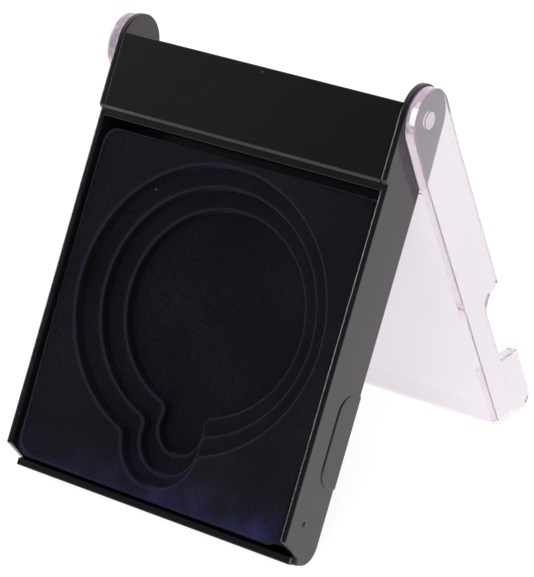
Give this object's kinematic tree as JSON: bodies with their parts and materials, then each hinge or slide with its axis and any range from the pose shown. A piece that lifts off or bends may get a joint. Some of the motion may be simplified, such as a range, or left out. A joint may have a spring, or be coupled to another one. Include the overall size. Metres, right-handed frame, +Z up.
{
  "type": "medal case",
  "caption": "Hinged moulded medal case with a stepped flocked insert; its clear lid folds right back as an easel leg.",
  "frame": {"origin": "on the table, under the middle of the standing case", "axes": "+Z up, -Y towards the viewer of the medal, +X to that viewer's right, along the hinge"},
  "size_m": [0.0904, 0.113, 0.1084],
  "materials": {
    "black_plastic": "polished black moulding",
    "header_plastic": "satin black moulding",
    "navy_flock": "short navy flock",
    "clear_plastic": "clear polished moulding, faint violet at the edges",
    "pin_plastic": "natural white plastic"
  },
  "bodies": {
    "base": {"base_tray": "black_plastic", "header_cover": "header_plastic", "flocked_insert": "navy_flock"},
    "lid": {"clear_lid": "clear_plastic", "hinge_pin_left": "pin_plastic", "hinge_pin_right": "pin_plastic"}
  },
  "joints": [
    {"name": "lid_hinge", "type": "hinge", "parent": "base", "child": "lid", "pos_m": [0, -0.00169, 0.10004], "axis": [1, 0, 0], "range_deg": [0, 304.96]}
  ]
}
